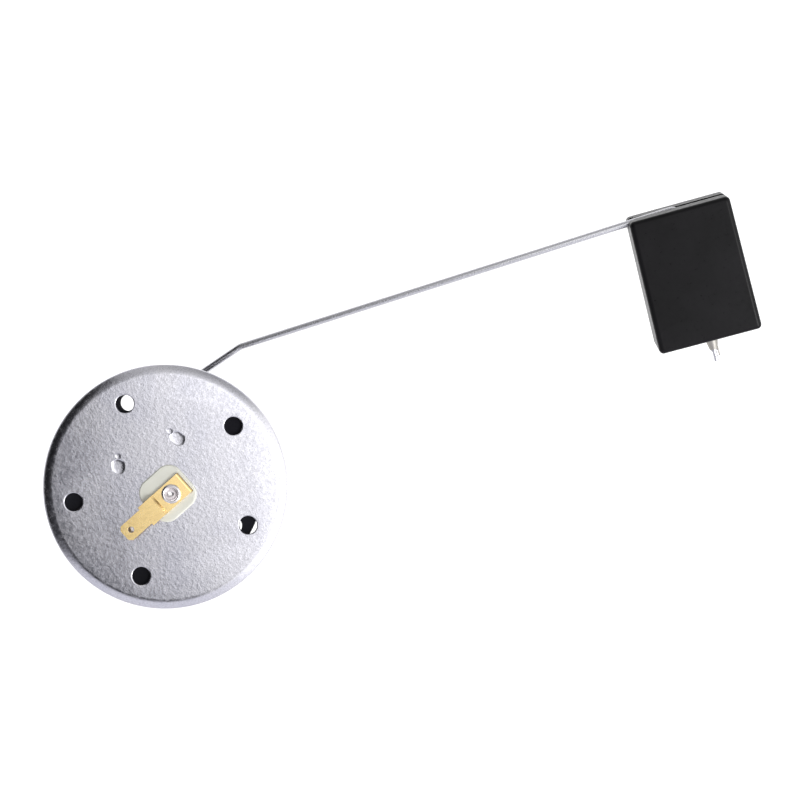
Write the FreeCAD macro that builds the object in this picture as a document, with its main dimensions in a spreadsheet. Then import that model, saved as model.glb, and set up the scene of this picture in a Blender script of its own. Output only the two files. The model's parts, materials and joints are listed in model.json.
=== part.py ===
import FreeCAD, Part
import math
import os
from types import SimpleNamespace

import Sketcher
from FreeCAD import Placement, Rotation, Vector

# A tank sender for a fuel gauge, in millimetres. The origin is on the flange's axis, in the
# gasket's sealing face. +Z points out of the tank, +X towards the float, and +Y towards the
# bolt hole that stands between the two equal steps of the bolt pattern. The bolt circle comes
# first: the gasket's band and the flange's rim are measured from it, and the bracket stands
# inside the gasket.

SIZES = {
    # Flange, a shallow pressed cup with its open side down
    "bolt_radius": 27.0,
    "flange_rim": 9.0,
    "flange_wall": 1.2,
    "flange_depth": 4.8,
    "shoulder_radius": 2.8,
    "bolt_hole": 5.3,
    "bolt_edge": 0.25,
    "bolt_step_near": 74.0,
    "bolt_step_far": 140.0,
    # Clinched marks that hold the bracket: an oval dimple with a dot beside it, twice
    "mark_edge": 1.98,
    "mark_inset": 5.05,
    "mark_radius": 2.1,
    "mark_stretch": 0.6,
    "mark_depth": 0.3,
    "mark_lean": 22.5,
    "dot_distance": 3.1,
    "dot_radius": 0.95,
    "clinch_radius": 1.8,
    "clinch_height": 1.0,
    "clinch_clearance": 0.1,
    # Gasket, a loose ring of sponge rubber that lies a little off centre
    "gasket_thickness": 4.0,
    "gasket_band_out": 3.7,
    "gasket_band_in": 7.0,
    "gasket_hole": 5.0,
    "gasket_hole_inset": 1.5,
    "gasket_turn": -4.6,
    "gasket_shift": 2.3,
    # Terminal stack: hollow rivet, outer and inner insulator, spade terminal and feed strip
    "terminal_x": 1.35,
    "terminal_y": -2.74,
    "terminal_angle": 196.3,
    "insulator_length": 14.4,
    "insulator_width": 14.4,
    "insulator_thickness": 1.5,
    "insulator_corner": 4.3,
    "insulator_edge": 0.35,
    "insulator_offset_x": 0.9,
    "insulator_offset_y": -0.85,
    "spigot_radius": 3.9,
    "spigot_clearance": 0.1,
    "inner_insulator_radius": 6.4,
    "inner_insulator_thickness": 1.5,
    "rivet_bore": 3.2,
    "rivet_shank": 4.0,
    "rivet_head": 5.7,
    "rivet_head_height": 0.85,
    "rivet_head_edge": 0.5,
    "rivet_roll": 5.8,
    "rivet_roll_height": 0.8,
    "rivet_roll_edge": 0.45,
    "rivet_clearance": 0.1,
    "spade_thickness": 0.8,
    "spade_tip": 18.2,
    "spade_end": 5.2,
    "spade_width": 6.85,
    "blade_width": 5.35,
    "blade_length": 8.3,
    "blade_hole": 1.9,
    "blade_hole_inset": 2.6,
    "blade_chamfer": 1.0,
    "blade_bevel": 0.2,
    "joggle_start": 4.4,
    "joggle_run": 0.8,
    "joggle_rise": 0.9,
    "joggle_slack": 0.33,
    "lip_depth": 1.0,
    "lip_fold": 0.6,
    "lip_clearance": 0.1,
    "strip_thickness": 0.5,
    "strip_pad_width": 7.0,
    "strip_width": 4.0,
    "strip_tail": 3.2,
    "strip_from_leg": 10.6,
    "strip_bend": 0.4,
    "strip_neck": 1.2,
    "strip_pad_corner": 2.4,
    "strip_end_corner": 1.4,
    "strip_tag": 1.8,
    # Bracket, folded from sheet: a foot under the flange, a leg and two stop tabs
    "bracket_wall": 1.2,
    "leg_inset": 3.8,
    "foot_clearance": 0.1,
    "foot_length": 7.8,
    "leg_neck": 0.7,
    "leg_below_pivot": 16.0,
    "leg_corner": 3.0,
    "neck_drop": 3.0,
    "fold_radius": 0.8,
    "stop_reach": 11.3,
    "stop_width": 9.0,
    "stop_height": 7.0,
    "stop_clearance": 0.2,
    "stop_fold": 0.5,
    # Pivot
    "pivot_x": 0.0,
    "pivot_z": -18.0,
    "arm_rest": 6.3,
    "arm_up": 3.0,
    "arm_down": 68.0,
    "bush_clearance": 0.03,
    "bush_od": 5.0,
    "bush_seat_clearance": 0.05,
    "bush_flange": 7.6,
    "bush_flange_thickness": 0.8,
    "bush_flange_edge": 0.3,
    "bush_length": 6.6,
    "spring_od": 6.6,
    "spring_bore": 2.4,
    "spring_cone": 0.5,
    "spring_thickness": 0.3,
    "spring_clearance": 0.05,
    "clip_od": 6.0,
    "clip_thickness": 0.6,
    "clip_notch": 0.6,
    "clip_clearance": 0.15,
    # Moulded tray that carries the resistor, measured from the pivot
    "tray_half_width": 12.5,
    "tray_above": 12.5,
    "tray_below": 14.5,
    "tray_depth": 7.0,
    "tray_wall": 1.3,
    "tray_floor": 1.4,
    "tray_corner": 3.0,
    "boss_radius": 4.0,
    "boss_height": 3.6,
    "feed_post_radius": 2.0,
    "feed_post_above": 8.0,
    "feed_rivet_radius": 0.75,
    "feed_rivet_clearance": 0.05,
    "feed_head_radius": 1.5,
    "feed_head_height": 0.6,
    "feed_head_edge": 0.35,
    "tray_rivet_gap": 0.6,
    "tray_rivet_above": 8.5,
    "tray_rivet_radius": 1.05,
    "tray_rivet_clearance": 0.05,
    "tray_rivet_head_radius": 1.8,
    "tray_rivet_head_height": 0.8,
    "tray_rivet_head_edge": 0.45,
    # Resistor: a curved card in two posts, wound with wire
    "card_radius": 10.5,
    "card_thickness": 1.0,
    "card_lift": 0.4,
    "card_height": 3.5,
    "card_half_angle": 50.0,
    "card_clearance": 0.05,
    "post_angle": 48.0,
    "post_half_radial": 1.8,
    "post_half_across": 1.2,
    "post_rise": 0.2,
    "winding_half_angle": 39.0,
    "winding_core": 0.15,
    "winding_ridge": 0.18,
    "winding_turns": 34,
    "ridge_angle": 1.2,
    "lead_diameter": 0.5,
    "lead_bend": 1.0,
    "lead_drop": 2.0,
    "lead_inset": 3.0,
    "lead_clearance": 0.02,
    # Wiper, a sprung leaf with two fingers
    "wiper_angle": 56.0,
    "hub_radius": 3.0,
    "hub_length": 2.0,
    "hub_gap": 0.4,
    "hub_clearance": 0.03,
    "leaf_thickness": 0.4,
    "leaf_tail": 3.2,
    "leaf_tail_corner": 1.5,
    "leaf_step_start": 3.8,
    "leaf_step_end": 5.8,
    "leaf_rise": 1.1,
    "leaf_reach": 12.0,
    "leaf_width": 5.2,
    "leaf_tip_width": 3.64,
    "finger_gap": 0.7,
    "finger_length": 5.0,
    "contact_radius": 0.7,
    "contact_edge": 0.28,
    "contact_clearance": 0.15,
    # Float arm, one bent wire
    "wire_diameter": 2.0,
    "shaft_proud": 0.4,
    "elbow_out": 6.73,
    "elbow_radius": 4.0,
    "first_reach": 36.93,
    "first_angle": 8.2,
    "bend_radius": 6.0,
    "long_reach": 138.55,
    "long_angle": -8.25,
    "leg_bend_radius": 3.0,
    "leg_past_float": 4.66,
    "leg_turn": -10.51,
    "leg_tilt": 11.47,
    "wire_tip_diameter": 1.3,
    "wire_tip_length": 3.2,
    # Float, a foam block on the wire's last leg: its top is the small end of its draft, and
    # has a slot for the wire with a chamfered mouth
    "float_length": 29.87,
    "float_height": 40.7,
    "float_depth": 15.0,
    "float_draft": 0.8,
    "float_edge": 1.4,
    "float_inset": 15.82,
    "float_cover": 0.46,
    "slot_clearance": 0.2,
    "slot_spare": 1.2,
    "mouth_width": 5.2,
    "mouth_length": 2.2,
    "float_bore_clearance": 0.1,
    "cap_flange_radius": 3.0,
    "cap_flange_thickness": 0.5,
    "cap_shoulder_radius": 1.9,
    "cap_tip_radius": 1.25,
    "cap_height": 4.05,
    "cap_clearance": 0.05,
    "prong_width": 0.7,
    "prong_thickness": 0.4,
    "prong_length": 2.4,
}


class Size:
    """A length or angle: its present value and the sheet formula that it is bound with."""

    def __init__(self, value, formula=None):
        self.value = float(value)
        self.formula = formula if formula else repr(float(value))

    def joined(self, sign, other, value):
        return Size(value, f"({self.formula} {sign} {as_size(other).formula})")

    def __add__(self, other):
        return self.joined("+", other, self.value + as_size(other).value)

    def __sub__(self, other):
        return self.joined("-", other, self.value - as_size(other).value)

    def __mul__(self, other):
        return self.joined("*", other, self.value * as_size(other).value)

    def __truediv__(self, other):
        return self.joined("/", other, self.value / as_size(other).value)

    def __neg__(self):
        return Size(-self.value, f"(0 - {self.formula})")


def as_size(number):
    return number if isinstance(number, Size) else Size(number)


def sine(angle):
    return Size(math.sin(math.radians(angle.value)), f"sin({angle.formula})")


def cosine(angle):
    return Size(math.cos(math.radians(angle.value)), f"cos({angle.formula})")


def tangent(angle):
    return Size(math.tan(math.radians(angle.value)), f"tan({angle.formula})")


def root(size):
    return Size(math.sqrt(size.value), f"sqrt({size.formula})")


doc = FreeCAD.newDocument("FuelSendingUnit")
sheet = doc.addObject("Spreadsheet::Sheet", "Sizes")
for row, (alias, number) in enumerate(SIZES.items(), start=1):
    sheet.set(f"A{row}", alias)
    sheet.set(f"B{row}", str(number))
    sheet.setAlias(f"B{row}", alias)
doc.recompute()
s = SimpleNamespace(**{alias: Size(number, f"Sizes.{alias}") for alias, number in SIZES.items()})
ZERO = Size(0)
PAST = Size(1)  # how far a cutting profile runs past the face that it opens
pieces = []


# Bodies, sketches and features

def new_body(label, x=ZERO, y=ZERO, z=ZERO, rotation=None):
    """A body that stands at x, y, z, with its sizes bound to the sheet."""
    body = doc.addObject("PartDesign::Body", label)
    body.Label = label
    body.Placement = Placement(Vector(x.value, y.value, z.value), rotation or Rotation())
    for axis, place in (("x", x), ("y", y), ("z", z)):
        body.setExpression(f".Placement.Base.{axis}", place.formula)
    pieces.append(body)
    return body


def turned(body, axis, angle):
    """Turns a body about an axis through its own origin by a bound angle."""
    body.Placement = Placement(body.Placement.Base, Rotation(axis, angle.value))
    body.setExpression(".Placement.Rotation.Angle", angle.formula)


def origin_feature(body, role):
    return [item for item in body.Origin.OriginFeatures if item.Role == role][0]


def new_sketch(body, name, plane, height=ZERO):
    sketch = body.newObject("Sketcher::SketchObject", name)
    sketch.AttachmentSupport = (origin_feature(body, plane), [""])
    sketch.MapMode = "FlatFace"
    sketch.setExpression("AttachmentOffset.Base.z", height.formula)
    return sketch


def bind(sketch, constraint, size):
    index = sketch.addConstraint(constraint)
    name = f"size_{index}"
    sketch.renameConstraint(index, name)
    sketch.setExpression(f"Constraints.{name}", size.formula)


def pin_point(sketch, geometry, end, x, y):
    bind(sketch, Sketcher.Constraint("DistanceX", -1, 1, geometry, end, x.value), x)
    bind(sketch, Sketcher.Constraint("DistanceY", -1, 1, geometry, end, y.value), y)


def draw_circle(sketch, x, y, radius):
    centre = Vector(x.value, y.value, 0)
    index = sketch.addGeometry(Part.Circle(centre, Vector(0, 0, 1), radius.value), False)
    bind(sketch, Sketcher.Constraint("Radius", index, radius.value), radius)
    pin_point(sketch, index, 3, x, y)


def draw_outline(sketch, corners):
    """A closed outline of straight lines through the corners."""
    first = sketch.GeometryCount
    count = len(corners)
    for index, (x, y) in enumerate(corners):
        end_x, end_y = corners[(index + 1) % count]
        line = Part.LineSegment(Vector(x.value, y.value, 0), Vector(end_x.value, end_y.value, 0))
        sketch.addGeometry(line, False)
    for index in range(count):
        following = first + (index + 1) % count
        sketch.addConstraint(Sketcher.Constraint("Coincident", first + index, 2, following, 1))
    for index, (x, y) in enumerate(corners):
        pin_point(sketch, first + index, 1, x, y)


def draw_box(sketch, x_low, x_high, y_low, y_high):
    draw_outline(sketch, [(x_low, y_low), (x_high, y_low), (x_high, y_high), (x_low, y_high)])


def extrude(body, name, plane, low, high, draw, cut=False):
    """Adds or cuts the drawn outline between two heights along the plane's row axis."""
    backwards = plane == "XZ_Plane"  # this plane's normal is -Y
    sketch = new_sketch(body, f"{name}_sketch", plane, -high if backwards else low)
    draw(sketch)
    before = body.Shape.Volume if cut else 0
    feature = body.newObject("PartDesign::Pocket" if cut else "PartDesign::Pad", name)
    feature.Profile = sketch
    feature.setExpression("Length", (high - low).formula)
    feature.Reversed = cut
    body.Tip = feature
    doc.recompute()
    if cut and feature.Shape.Volume >= before - 1e-6:
        raise RuntimeError(f"{body.Label}: {name} cuts nothing")
    return feature


def revolve(body, name, plane, corners, angle=None, cut=False):
    """Turns an outline about the sketch's upright axis, all the way round or by an angle."""
    sketch = new_sketch(body, f"{name}_sketch", plane)
    draw_outline(sketch, corners)
    before = body.Shape.Volume if cut else 0
    kind = "PartDesign::Groove" if cut else "PartDesign::Revolution"
    feature = body.newObject(kind, name)
    feature.Profile = sketch
    feature.ReferenceAxis = (sketch, ["V_Axis"])
    feature.Angle = 360
    if angle:
        feature.setExpression("Angle", angle.formula)
    body.Tip = feature
    doc.recompute()
    if cut and feature.Shape.Volume >= before - 1e-6:
        raise RuntimeError(f"{body.Label}: {name} cuts nothing")
    return feature


def round_edges(body, name, radius, wanted, kind="PartDesign::Fillet"):
    """Rounds or chamfers the edges whose bounding box centre and size the test accepts."""
    base = body.Tip
    names = []
    for index, edge in enumerate(base.Shape.Edges, start=1):
        box = edge.BoundBox
        if wanted(edge, box.Center, Vector(box.XLength, box.YLength, box.ZLength)):
            names.append(f"Edge{index}")
    if not names:
        raise RuntimeError(f"{body.Label}: {name} finds no edge")
    feature = body.newObject(kind, name)
    feature.Base = (base, names)
    feature.setExpression("Size" if kind.endswith("Chamfer") else "Radius", radius.formula)
    body.Tip = feature
    doc.recompute()
    return feature


def near(a, b):
    return abs(a - as_size(b).value) < 1e-3


def ring_edge(radius, z=None, y=None):
    """A test for a circular edge of one radius at one height."""
    def wanted(edge, centre, size):
        if not hasattr(edge.Curve, "Radius") or not near(edge.Curve.Radius, radius):
            return False
        return near(centre.z, z) if z is not None else near(centre.y, y)
    return wanted


def line_along(axis, **places):
    """A test for a straight edge along one axis that passes through the named places."""
    def wanted(edge, centre, size):
        across = [getattr(size, other) for other in "xyz" if other != axis]
        straight = max(across) < 1e-3 and getattr(size, axis) > 1e-3
        return straight and all(near(getattr(centre, key), place) for key, place in places.items())
    return wanted


def any_of(*tests):
    return lambda *edge: any(test(*edge) for test in tests)


# Heights through the terminal stack and places along the pivot, shared by the pieces

FLANGE_UNDER = s.gasket_thickness
FLANGE_TOP = FLANGE_UNDER + s.flange_wall
INSULATOR_TOP = FLANGE_TOP + s.insulator_thickness
SPADE_TOP = INSULATOR_TOP + s.spade_thickness
INNER_UNDER = FLANGE_UNDER - s.inner_insulator_thickness
STRIP_UNDER = INNER_UNDER - s.strip_thickness
FLANGE_RADIUS = s.bolt_radius + s.flange_rim
GASKET_OUTER = s.bolt_radius + s.gasket_band_out
GASKET_INNER = s.bolt_radius - s.gasket_band_in
LEG_FACE_Y = GASKET_INNER - s.leg_inset
LEG_BACK_Y = LEG_FACE_Y - s.bracket_wall
HALF_FOOT = root(GASKET_INNER * GASKET_INNER - LEG_FACE_Y * LEG_FACE_Y) - s.foot_clearance
HALF_LEG = HALF_FOOT - s.leg_neck
FOLD_OUTSIDE = s.fold_radius + s.bracket_wall
MARK_X = HALF_FOOT - s.mark_edge
MARK_Y = LEG_FACE_Y - s.mark_inset
TRAY_FLOOR_Y = LEG_BACK_Y - s.tray_floor
TRAY_OPEN_Y = LEG_BACK_Y - s.tray_depth
TRAY_RIVET_X = HALF_LEG - s.bracket_wall - s.tray_rivet_head_radius - s.tray_rivet_gap
CARD_FOOT_Y = TRAY_FLOOR_Y - s.card_lift
CARD_TOP_Y = CARD_FOOT_Y - s.card_height
STRIP_FACE_Y = LEG_FACE_Y - s.strip_from_leg
STRIP_BACK_Y = STRIP_FACE_Y + s.strip_thickness
TAG_END_Z = s.pivot_z + s.feed_post_above - s.feed_post_radius - s.strip_tag
WIRE_RADIUS = s.wire_diameter / 2
BUSH_BORE_RADIUS = WIRE_RADIUS + s.bush_clearance
BUSH_FACE_Y = LEG_FACE_Y + s.bush_flange_thickness
BUSH_NOSE_Y = LEG_FACE_Y - s.bush_length
HUB_BACK_Y = BUSH_NOSE_Y - s.hub_gap
HUB_FRONT_Y = HUB_BACK_Y - s.hub_length
LEAF_BACK_Y = HUB_FRONT_Y - s.leaf_thickness
ELBOW_Y = BUSH_FACE_Y + s.elbow_out
BOLT_ANGLES = [
    Size(90),
    Size(90) - s.bolt_step_near,
    Size(90) + s.bolt_step_near,
    Size(90) - s.bolt_step_far,
    Size(90) + s.bolt_step_far,
]
GASKET_AWAY = Size(90) - s.bolt_step_far


def mark_point(side, distance):
    """A point on a mark's own axis, which leans in towards the flange's middle."""
    x = (MARK_X - sine(s.mark_lean) * distance) * side
    return x, MARK_Y + cosine(s.mark_lean) * distance


# Flange

def make_flange_cup():
    body = new_body("flange_cup")
    radius = FLANGE_RADIUS
    inside = radius - s.flange_wall
    edge = FLANGE_TOP - s.flange_depth
    revolve(body, "pressing", "XZ_Plane", [
        (ZERO, FLANGE_UNDER), (inside, FLANGE_UNDER), (inside, edge),
        (radius, edge), (radius, FLANGE_TOP), (ZERO, FLANGE_TOP),
    ])
    round_edges(body, "shoulder", s.shoulder_radius, ring_edge(radius, z=FLANGE_TOP))
    round_edges(body, "inner_shoulder", s.shoulder_radius - s.flange_wall,
                ring_edge(inside, z=FLANGE_UNDER), "PartDesign::Chamfer")

    def bolt_holes(sketch):
        for angle in BOLT_ANGLES:
            draw_circle(sketch, s.bolt_radius * cosine(angle), s.bolt_radius * sine(angle),
                        s.bolt_hole / 2)
        draw_circle(sketch, s.terminal_x, s.terminal_y, s.spigot_radius + s.spigot_clearance)
    extrude(body, "holes", "XY_Plane", FLANGE_UNDER - PAST, FLANGE_TOP + PAST, bolt_holes, cut=True)
    round_edges(body, "hole_edges", s.bolt_edge, ring_edge(s.bolt_hole / 2, z=FLANGE_TOP),
                "PartDesign::Chamfer")

    floor = FLANGE_TOP - s.mark_depth
    spots = [(-s.mark_stretch / 2, s.mark_radius), (s.mark_stretch / 2, s.mark_radius),
             (s.dot_distance, s.dot_radius)]
    for number, (distance, spot_radius) in enumerate(spots, start=1):
        def dimples(sketch):
            for side in (-1, 1):
                draw_circle(sketch, *mark_point(side, distance), spot_radius)
        extrude(body, f"dimple_{number}", "XY_Plane", floor, FLANGE_TOP + PAST, dimples, cut=True)

    def clinches(sketch):
        for side in (-1, 1):
            draw_circle(sketch, *mark_point(side, ZERO), s.clinch_radius)
    extrude(body, "clinches", "XY_Plane", FLANGE_UNDER - s.clinch_height, FLANGE_UNDER, clinches)


def make_gasket():
    body = new_body("flange_gasket", -s.gasket_shift * cosine(GASKET_AWAY),
                    -s.gasket_shift * sine(GASKET_AWAY))
    turned(body, Vector(0, 0, 1), s.gasket_turn)

    def ring(sketch):
        draw_circle(sketch, ZERO, ZERO, GASKET_OUTER)
        draw_circle(sketch, ZERO, ZERO, GASKET_INNER)
    extrude(body, "ring", "XY_Plane", ZERO, s.gasket_thickness, ring)

    def holes(sketch):
        radius = s.bolt_radius - s.gasket_hole_inset
        for angle in (BOLT_ANGLES[0], GASKET_AWAY):
            draw_circle(sketch, radius * cosine(angle), radius * sine(angle), s.gasket_hole / 2)
    extrude(body, "holes", "XY_Plane", -PAST, s.gasket_thickness + PAST, holes, cut=True)


# Terminal stack, each piece in the terminal's own frame, +X towards the blade's tip

def stack_body(label):
    body = new_body(label, s.terminal_x, s.terminal_y)
    turned(body, Vector(0, 0, 1), s.terminal_angle)
    return body


def make_terminal_insulator():
    body = stack_body("terminal_insulator")
    half_length = s.insulator_length / 2
    half_width = s.insulator_width / 2
    bore = s.rivet_shank / 2 + s.rivet_clearance

    def plate(sketch):
        draw_box(sketch, s.insulator_offset_x - half_length, s.insulator_offset_x + half_length,
                 s.insulator_offset_y - half_width, s.insulator_offset_y + half_width)
    extrude(body, "plate", "XY_Plane", FLANGE_TOP, INSULATOR_TOP, plate)
    round_edges(body, "corners", s.insulator_corner, line_along("z"))
    round_edges(body, "top_edge", s.insulator_edge,
                lambda edge, centre, size: near(centre.z, INSULATOR_TOP) and size.z < 1e-3,
                "PartDesign::Chamfer")
    extrude(body, "spigot", "XY_Plane", FLANGE_UNDER, FLANGE_TOP,
            lambda sketch: draw_circle(sketch, ZERO, ZERO, s.spigot_radius))
    extrude(body, "bore", "XY_Plane", FLANGE_UNDER - PAST, INSULATOR_TOP + PAST,
            lambda sketch: draw_circle(sketch, ZERO, ZERO, bore), cut=True)

    def lip_slot(sketch):
        half_slot = s.spade_width / 2 + s.lip_clearance
        draw_box(sketch, -s.spade_end - s.lip_clearance,
                 s.spade_thickness - s.spade_end + s.lip_clearance, -half_slot, half_slot)
    extrude(body, "lip_slot", "XY_Plane", INSULATOR_TOP - s.lip_depth - s.lip_clearance,
            INSULATOR_TOP + PAST, lip_slot, cut=True)


def make_inner_insulator():
    body = stack_body("inner_insulator")

    def washer(sketch):
        draw_circle(sketch, ZERO, ZERO, s.inner_insulator_radius)
        draw_circle(sketch, ZERO, ZERO, s.rivet_shank / 2 + s.rivet_clearance)
    extrude(body, "washer", "XY_Plane", INNER_UNDER, FLANGE_UNDER, washer)


def make_spade_terminal():
    body = stack_body("spade_terminal")
    half = s.spade_width / 2
    blade_half = s.blade_width / 2
    blade_under = INSULATOR_TOP + s.joggle_rise
    joggle_end = s.joggle_start + s.joggle_run
    slack = s.joggle_slack  # keeps the joggle as thick as the strip
    blade_root = s.spade_tip - s.blade_length

    def side(sketch):
        draw_outline(sketch, [
            (-s.spade_end, INSULATOR_TOP - s.lip_depth),
            (s.spade_thickness - s.spade_end, INSULATOR_TOP - s.lip_depth),
            (s.spade_thickness - s.spade_end, INSULATOR_TOP),
            (s.joggle_start + slack, INSULATOR_TOP), (joggle_end + slack, blade_under),
            (s.spade_tip, blade_under), (s.spade_tip, blade_under + s.spade_thickness),
            (joggle_end, blade_under + s.spade_thickness), (s.joggle_start, SPADE_TOP),
            (-s.spade_end, SPADE_TOP),
        ])
    extrude(body, "strip", "XZ_Plane", -half, half, side)
    round_edges(body, "lip_fold", s.lip_fold,
                line_along("y", x=-s.spade_end, z=SPADE_TOP))

    def blade_sides(sketch):
        for sign in (-1, 1):
            draw_box(sketch, blade_root, s.spade_tip + PAST, blade_half * sign,
                     (half + PAST) * sign)
    extrude(body, "blade_sides", "XY_Plane", INSULATOR_TOP, blade_under + s.spade_thickness + PAST,
            blade_sides, cut=True)
    round_edges(body, "tip_corners", s.blade_chamfer,
                any_of(line_along("z", x=s.spade_tip, y=blade_half),
                       line_along("z", x=s.spade_tip, y=-blade_half)), "PartDesign::Chamfer")
    round_edges(body, "tip_bevel", s.blade_bevel,
                line_along("y", x=s.spade_tip), "PartDesign::Chamfer")

    def holes(sketch):
        draw_circle(sketch, ZERO, ZERO, s.rivet_shank / 2 + s.rivet_clearance)
        draw_circle(sketch, s.spade_tip - s.blade_hole_inset, ZERO, s.blade_hole / 2)
    extrude(body, "holes", "XY_Plane", INSULATOR_TOP - PAST,
            blade_under + s.spade_thickness + PAST, holes, cut=True)


def make_terminal_rivet():
    body = stack_body("terminal_rivet")
    bore = s.rivet_bore / 2
    shank = s.rivet_shank / 2
    head = s.rivet_head / 2
    roll = s.rivet_roll / 2
    top = SPADE_TOP + s.rivet_head_height
    bottom = STRIP_UNDER - s.rivet_roll_height
    revolve(body, "tube", "XZ_Plane", [
        (bore, bottom), (roll, bottom), (roll, STRIP_UNDER), (shank, STRIP_UNDER),
        (shank, SPADE_TOP), (head, SPADE_TOP), (head, top), (bore, top),
    ])
    round_edges(body, "head_edges", s.rivet_head_edge,
                any_of(ring_edge(head, z=top), ring_edge(bore, z=top)), "PartDesign::Chamfer")
    round_edges(body, "roll_edges", s.rivet_roll_edge,
                any_of(ring_edge(roll, z=bottom), ring_edge(bore, z=bottom)),
                "PartDesign::Chamfer")


def make_feed_strip():
    body = new_body("feed_strip", s.terminal_x)
    tail = TAG_END_Z
    start = s.terminal_y - s.strip_tail
    half_pad = s.strip_pad_width / 2
    half_strip = s.strip_width / 2

    def side(sketch):
        draw_outline(sketch, [
            (start, STRIP_UNDER), (STRIP_FACE_Y, STRIP_UNDER), (STRIP_FACE_Y, tail),
            (STRIP_BACK_Y, tail), (STRIP_BACK_Y, INNER_UNDER), (start, INNER_UNDER),
        ])
    extrude(body, "fold", "YZ_Plane", -half_pad, half_pad, side)
    round_edges(body, "inside_fold", s.strip_bend, line_along("x", y=STRIP_FACE_Y, z=STRIP_UNDER))
    round_edges(body, "outside_fold", s.strip_bend + s.strip_thickness,
                line_along("x", y=STRIP_BACK_Y, z=INNER_UNDER))

    def narrow_sides(sketch):
        for sign in (-1, 1):
            draw_box(sketch, half_strip * sign, (half_pad + PAST) * sign, tail - PAST,
                     INNER_UNDER - s.strip_neck)
    extrude(body, "narrow_sides", "XZ_Plane", STRIP_FACE_Y - PAST, STRIP_BACK_Y + PAST,
            narrow_sides, cut=True)
    round_edges(body, "end_corners", s.strip_end_corner, any_of(
        line_along("y", x=half_strip, z=tail), line_along("y", x=-half_strip, z=tail),
    ))
    round_edges(body, "pad_corners", s.strip_pad_corner, any_of(
        line_along("z", x=half_pad, y=start), line_along("z", x=-half_pad, y=start),
    ))
    extrude(body, "rivet_hole", "XY_Plane", STRIP_UNDER - PAST, INNER_UNDER + PAST,
            lambda sketch: draw_circle(sketch, ZERO, s.terminal_y,
                                       s.rivet_shank / 2 + s.rivet_clearance), cut=True)
    extrude(body, "feed_rivet_hole", "XZ_Plane", STRIP_FACE_Y - PAST, STRIP_BACK_Y + PAST,
            lambda sketch: draw_circle(sketch, ZERO, s.pivot_z + s.feed_post_above,
                                       s.feed_rivet_radius + s.feed_rivet_clearance), cut=True)


def make_feed_rivet():
    body = new_body("feed_rivet", s.terminal_x, ZERO, s.pivot_z + s.feed_post_above)
    front = STRIP_FACE_Y - s.feed_head_height
    revolve(body, "rivet", "XY_Plane", [
        (ZERO, front), (s.feed_head_radius, front), (s.feed_head_radius, STRIP_FACE_Y),
        (s.feed_rivet_radius, STRIP_FACE_Y), (s.feed_rivet_radius, TRAY_FLOOR_Y),
        (ZERO, TRAY_FLOOR_Y),
    ])
    round_edges(body, "head_edge", s.feed_head_edge, ring_edge(s.feed_head_radius, y=front),
                "PartDesign::Chamfer")


# Bracket and pivot

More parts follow.
